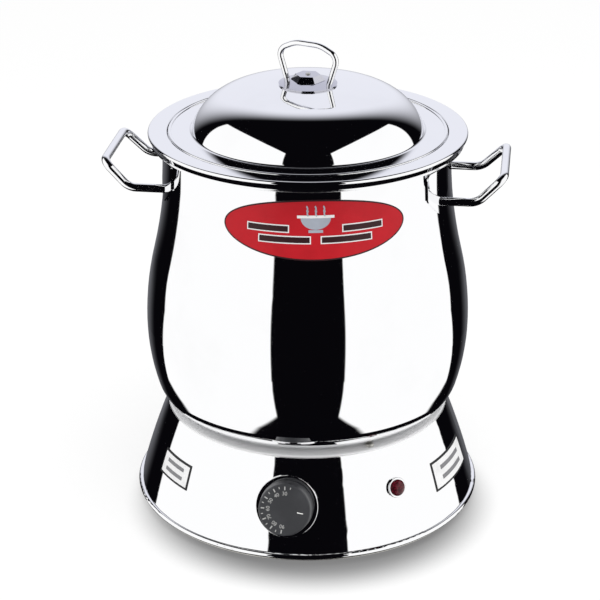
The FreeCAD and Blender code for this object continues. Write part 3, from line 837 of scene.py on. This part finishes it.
class KETTLE_OT_badge(bpy.types.Operator):
    """Lay a plain oval badge on the neck: red field, dark edge and a bowl with steam"""

    bl_idname = "kettle.badge"
    bl_label = "Lay badge"

    def execute(self, context):
        look = context.scene.kettle_finish
        red = printed("badge_red", look.badge_red, 0.28, 700.0)
        dark = printed("badge_dark", (0.035, 0.012, 0.014), 0.3, 700.0)
        grey = printed("badge_grey", (0.36, 0.39, 0.45), 0.3, 700.0)
        pale = printed("badge_pale", (0.80, 0.80, 0.80), 0.3, 700.0)
        sheet = Sticker("outer_vessel", look.badge_turn, look.badge_level)
        self.field(sheet, look, red, dark)
        lift = look.sticker_lift * 1.5
        frames, bars = self.bars()
        self.motif(sheet, "badge_bowl", self.bowl(), lift, grey)
        self.motif(sheet, "badge_steam", self.steam(), lift, grey)
        self.motif(sheet, "badge_frames", frames, lift, pale)
        self.motif(sheet, "badge_bars", bars, lift * 1.3, dark)
        return {"FINISHED"}

    def bowl(self):
        """Edges of a half-round bowl and its foot."""
        brim, radius, squash = 10.5 * MM, 12.5 * MM, 0.8
        foot_level, foot_reach, foot_half = -1.0 * MM, 6.0 * MM, 1.2 * MM
        body = arc_edges((0.0, brim), 0.0, radius, 180.0, 360.0, squash)
        foot = line_edges((-foot_reach, foot_level), (foot_reach, foot_level), foot_half)
        return [body, foot]

    def steam(self):
        """Edges of three wisps, each bent to one side and then to the other."""
        bend = {"inner": 1.4 * MM, "outer": 2.6 * MM, "squash": 1.3, "steps": 12}
        wisps = []
        for place in (-7.0 * MM, 0.0, 7.0 * MM):
            low, high = (place + 2.0 * MM, 14.5 * MM), (place - 1.8 * MM, 18.5 * MM)
            wisps.append(arc_edges(low, first=120.0, last=240.0, **bend))
            wisps.append(arc_edges(high, first=-60.0, last=60.0, **bend))
        return wisps

    def bars(self):
        """Edges of the pale brim and frames, and of the dark bars inside the frames."""
        brim_reach, brim_level, brim_half = 15.5 * MM, 11.6 * MM, 1.2 * MM
        frame_half, border = 3.4 * MM, 1.0 * MM
        frames = [line_edges((-brim_reach, brim_level), (brim_reach, brim_level), brim_half)]
        bars = []
        for side in (-1, 1):
            for near, far, up in ((4 * MM, 48 * MM, -8.5 * MM), (22 * MM, 58 * MM, 0.8 * MM)):
                start, end = (side * (near + border), up), (side * (far - border), up)
                frames.append(line_edges((side * near, up), (side * far, up), frame_half))
                bars.append(line_edges(start, end, frame_half - border))
        return frames, bars

    def field(self, sheet, look, red, dark):
        """The oval itself, with a dark band along its edge and a wall down to the neck."""
        turns = 144
        half_width, half_height = 0.5 * look.badge_width, 0.5 * look.badge_height
        field_width, field_height = half_width - look.badge_edge, half_height - look.badge_edge
        inner = [(share * field_width, share * field_height) for share in FIELD_ROWS]
        ovals = inner + [(half_width, half_height)] * 2
        points, kinds = [], []
        for row, (wide, tall) in enumerate(ovals):
            lift = 0.0 if row == len(ovals) - 1 else look.sticker_lift
            for k in range(turns):
                turn = 2 * math.pi * k / turns
                points.append(sheet.at(wide * math.cos(turn), tall * math.sin(turn), lift))
        for row in range(len(ovals) - 1):
            kinds += [1 if row >= len(inner) - 1 else 0] * turns
        faces = patch(len(ovals), turns, closed=True)
        add_piece("badge_field", points, faces, [red, dark], "kettle", kinds)

    def motif(self, sheet, name, shapes, lift, material):
        """One piece from several strips on the badge."""
        points, faces = [], []
        for shape in shapes:
            start = len(points)
            shape_points, shape_faces = sheet.strip(shape, lift)
            points += shape_points
            faces += [tuple(start + corner for corner in face) for face in shape_faces]
        add_piece(name, points, faces, [material], "kettle")


class KETTLE_OT_labels(bpy.types.Operator):
    """Lay two plain white labels with black borders and grey rules on the skirt"""

    bl_idname = "kettle.labels"
    bl_label = "Lay labels"

    def execute(self, context):
        look = context.scene.kettle_finish
        black = printed("label_black", (0.02, 0.02, 0.022), 0.4, 700.0)
        white = printed("label_white", (0.88, 0.88, 0.88), 0.4, 700.0)
        grey = printed("label_grey", (0.23, 0.23, 0.24), 0.4, 700.0)
        places = {
            "left_label": (math.radians(-139.5), 53 * MM, 45 * MM, 22 * MM),
            "right_label": (math.radians(-18.0), 50 * MM, 66 * MM, 26 * MM),
        }
        for name, (angle, level, width, height) in places.items():
            sheet = Sticker("base_shell", angle, level)
            edges, lift = 2 * look.label_edge, look.sticker_lift
            self.slab(sheet, name + "_border", width, height, lift, black)
            self.slab(sheet, name + "_field", width - edges, height - edges, lift * 1.5, white)
            reach, half, off_middle = 0.3 * width, 0.07 * height, 0.17 * height
            for row, up in enumerate((off_middle, -off_middle)):
                rule = line_edges((-reach, up), (reach, up), half)
                points, faces = sheet.strip(rule, lift * 1.9)
                add_piece(f"{name}_rule_{row}", points, faces, [grey], "kettle")
        return {"FINISHED"}

    def slab(self, sheet, name, width, height, lift, material):
        """An oblong piece laid on the skirt."""
        edges = line_edges((-width / 2, 0.0), (width / 2, 0.0), height / 2, 32)
        points, faces = sheet.strip(edges, lift)
        add_piece(name, points, faces, [material], "kettle")


def seen_from(stage, turn, reach, level):
    """A point at an angle from the camera's direction, seen from the kettle's axis."""
    angle = stage.camera_turn - math.pi / 2 + math.radians(turn)
    return Vector((math.cos(angle) * reach, math.sin(angle) * reach, level))


def seen_rays(paint):
    """1 for what the camera sees, straight or mirrored, and 0 for light that falls on things."""
    path = paint.node("ShaderNodeLightPath")
    seen = path.out("Is Camera Ray").math("MAXIMUM", path.out("Is Glossy Ray"))
    return seen.math("MAXIMUM", path.out("Is Transmission Ray"))


def reflected_only(thing):
    """Keep a stage object out of the picture and of the even light, but in reflections."""
    thing.visible_camera = False
    thing.visible_diffuse = False
    thing.visible_shadow = False
    thing.visible_volume_scatter = False


def tent_light(name, reach, panel, glow):
    """Inside of the studio tent: two white panels, a soft glow behind and black elsewhere."""
    material, paint, shader = new_material(name)
    x, y, z = place_of(paint).split()
    x, y, z = x * (1 / reach), y * (1 / reach), z * (1 / reach)
    side = x.math("ABSOLUTE")
    inner = side * math.cos(PANEL_START) + y * math.sin(PANEL_START)
    spread = (SPREAD_LEVEL - z).math("MAXIMUM", 0.0) * SPREAD_RATE
    outer = side * -math.cos(PANEL_END) - y * math.sin(PANEL_END) + spread
    facing = side * math.sin(PANEL_MIDDLE) - y * math.cos(PANEL_MIDDLE)
    upper = facing * PANEL_TOP - z
    lower = facing * PANEL_FOOT + z
    white = inner.step(-0.004, 0.012) * outer.step(-0.006, 0.014)
    white = white * upper.step(-0.01, 0.015) * lower.step(-0.03, 0.03)
    rear = y * math.cos(GLOW_RISE) + z * math.sin(GLOW_RISE)
    low_rear = y.step(0.70, 0.98) * (1.0 - z.step(-0.36, -0.24))
    behind = rear.step(math.cos(GLOW_EDGE), math.cos(GLOW_CORE)).math("MAXIMUM", low_rear * LOW_GLOW)
    shader.inputs["Base Color"].default_value = colour4(BLACK)
    shader.inputs["Specular IOR Level"].default_value = 0.0
    shader.inputs["Emission Strength"].default_value = 1.0
    cloth = behind.mix(colour4((0.0022, 0.002, 0.003)), colour4(glow))
    paint.feed(shader, "Emission Color", white.mix(cloth, colour4(panel)))
    material.cycles.emission_sampling = "NONE"
    return material


class KETTLE_OT_stage(bpy.types.Operator):
    """Set up the floor, the tent, the light and the camera"""

    bl_idname = "kettle.stage"
    bl_label = "Set up studio"

    reach: FloatProperty(
        name="Tent radius", description="Radius of the studio tent", unit="LENGTH", default=20.0
    )
    tent_level: FloatProperty(
        name="Tent level", description="Height of the tent's middle", unit="LENGTH", default=0.25
    )
    tent_turn: FloatProperty(
        name="Tent turn",
        description="Tent's turn off the camera",
        subtype="ANGLE",
        default=math.radians(0.4),
    )

    def execute(self, context):
        stage = context.scene.kettle_stage
        context.scene.view_settings.view_transform = "Standard"
        self.floor(stage)
        self.tent(stage)
        self.world(context.scene, stage)
        self.lamp(stage)
        self.camera(context.scene, stage)
        return {"FINISHED"}

    def floor(self, stage):
        """A pale floor, partly self-lit, with a soft shadow painted into its colour around the base.
        """
        material, paint, shader = new_material("pale_floor")
        x, y, _ = place_of(paint).split()
        # Painted shadow: a soft dark disc, shifted towards the camera and a little to the right,
        # darkens the floor's colour and its own light around the base.
        shade_turn = 8.0
        middle = seen_from(stage, shade_turn, stage.shade_shift, 0.0)
        across, along = x - middle.x, y - middle.y
        reach = (across * across + along * along).math("SQRT")
        shade = 1.0 - reach.step(stage.shade_inner, stage.shade_outer)
        own = stage.floor_glow
        full = shade.mix(colour4(stage.floor), colour4(stage.shade))
        lit = shade.mix(colour4(stage.floor, 1 - own), colour4(stage.shade, 1 - own))
        glow = shade.mix(colour4(WHITE), colour4(stage.shade))
        seen = seen_rays(paint)
        paint.feed(shader, "Base Color", seen.mix(full, lit))
        paint.feed(shader, "Emission Color", seen.mix(colour4(BLACK), glow))
        shader.inputs["Emission Strength"].default_value = own
        shader.inputs["Roughness"].default_value = 0.9
        shader.inputs["Specular IOR Level"].default_value = 0.0
        half = 12.0
        mesh = bpy.data.meshes.new("floor")
        corners = [(-half, -half, 0.0), (half, -half, 0.0), (half, half, 0.0), (-half, half, 0.0)]
        mesh.from_pydata(corners, [], [(0, 1, 2, 3)])
        mesh.materials.append(material)
        floor = bpy.data.objects.new("floor", mesh)
        bpy.context.scene.collection.objects.link(floor)
        floor.visible_glossy = False

    def tent(self, stage):
        """A wide sphere that only reflections see, turned to the camera."""
        mesh = bpy.data.meshes.new("studio_tent")
        rows, turns = 49, 96
        points = []
        for row in range(rows):
            rise = math.pi * (row / (rows - 1) - 0.5)
            wide, level = math.cos(rise) * self.reach, math.sin(rise) * self.reach
            for k in range(turns):
                turn = 2 * math.pi * k / turns
                points.append((wide * math.cos(turn), wide * math.sin(turn), level))
        mesh.from_pydata(points, [], patch(rows, turns, closed=True))
        mesh.materials.append(tent_light("tent_light", self.reach, stage.panel, stage.glow))
        tent = bpy.data.objects.new("studio_tent", mesh)
        tent.location.z = self.tent_level
        tent.rotation_euler.z = stage.camera_turn + self.tent_turn
        bpy.context.scene.collection.objects.link(tent)
        reflected_only(tent)

    def world(self, scene, stage):
        """Even light all round, plain white where it is seen."""
        world = bpy.data.worlds.new("studio")
        world.use_nodes = True
        scene.world = world
        paint = Socket(world.node_tree)
        seen = seen_rays(paint)
        background = world.node_tree.nodes["Background"]
        background.inputs["Color"].default_value = colour4(WHITE)
        paint.feed(background, "Strength", seen + (1.0 - seen) * stage.room_light)

    def lamp(self, stage):
        """A wide soft lamp overhead, aimed at the kettle."""
        turn, reach, level = 25.0, 0.5, 1.9
        aim = Vector((0.0, 0.0, 0.2))
        data = bpy.data.lights.new("top_lamp", "AREA")
        data.shape = "DISK"
        data.size = 1.4
        data.energy = stage.top_light
        lamp = bpy.data.objects.new("top_lamp", data)
        lamp.location = seen_from(stage, turn, reach, level)
        lamp.rotation_euler = (aim - lamp.location).to_track_quat("-Z", "Y").to_euler()
        lamp.visible_glossy = False
        bpy.context.scene.collection.objects.link(lamp)

    def camera(self, scene, stage):
        """A long lens that looks down at the kettle."""
        data = bpy.data.cameras.new("camera")
        data.sensor_width = 36.0
        data.lens = stage.camera_lens
        data.clip_end = 60.0
        camera = bpy.data.objects.new("camera", data)
        camera.location = seen_from(stage, 0.0, stage.camera_distance, stage.camera_height)
        heading = stage.camera_turn - stage.camera_yaw
        camera.rotation_euler = (math.pi / 2 - stage.camera_pitch, 0.0, heading)
        scene.collection.objects.link(camera)
        scene.camera = camera


class KETTLE_PT_panel(bpy.types.Panel):
    """Steps and settings of the kettle's finish"""

    bl_idname = "KETTLE_PT_panel"
    bl_label = "Soup kettle"
    bl_space_type = "VIEW_3D"
    bl_region_type = "UI"
    bl_category = "Kettle"

    def draw(self, context):
        for operator in OPERATORS:
            self.layout.operator(operator.bl_idname)
        for group in (context.scene.kettle_finish, context.scene.kettle_stage):
            for name in group.__annotations__:
                self.layout.prop(group, name)


OPERATORS = (
    KETTLE_OT_steel,
    KETTLE_OT_rods,
    KETTLE_OT_inside,
    KETTLE_OT_black,
    KETTLE_OT_knob,
    KETTLE_OT_lamp,
    KETTLE_OT_badge,
    KETTLE_OT_labels,
    KETTLE_OT_stage,
)
CLASSES = (KettleFinish, KettleStage, *OPERATORS, KETTLE_PT_panel)


def register():
    for made in CLASSES:
        bpy.utils.register_class(made)
    bpy.types.Scene.kettle_finish = PointerProperty(type=KettleFinish)
    bpy.types.Scene.kettle_stage = PointerProperty(type=KettleStage)


def unregister():
    del bpy.types.Scene.kettle_finish
    del bpy.types.Scene.kettle_stage
    for made in reversed(CLASSES):
        bpy.utils.unregister_class(made)


def main():
    register()
    bpy.ops.kettle.steel()
    bpy.ops.kettle.rods()
    bpy.ops.kettle.inside()
    bpy.ops.kettle.black()
    bpy.ops.kettle.knob()
    bpy.ops.kettle.lamp()
    bpy.ops.kettle.badge()
    bpy.ops.kettle.labels()
    bpy.ops.kettle.stage()


if __name__ == "__main__":
    main()
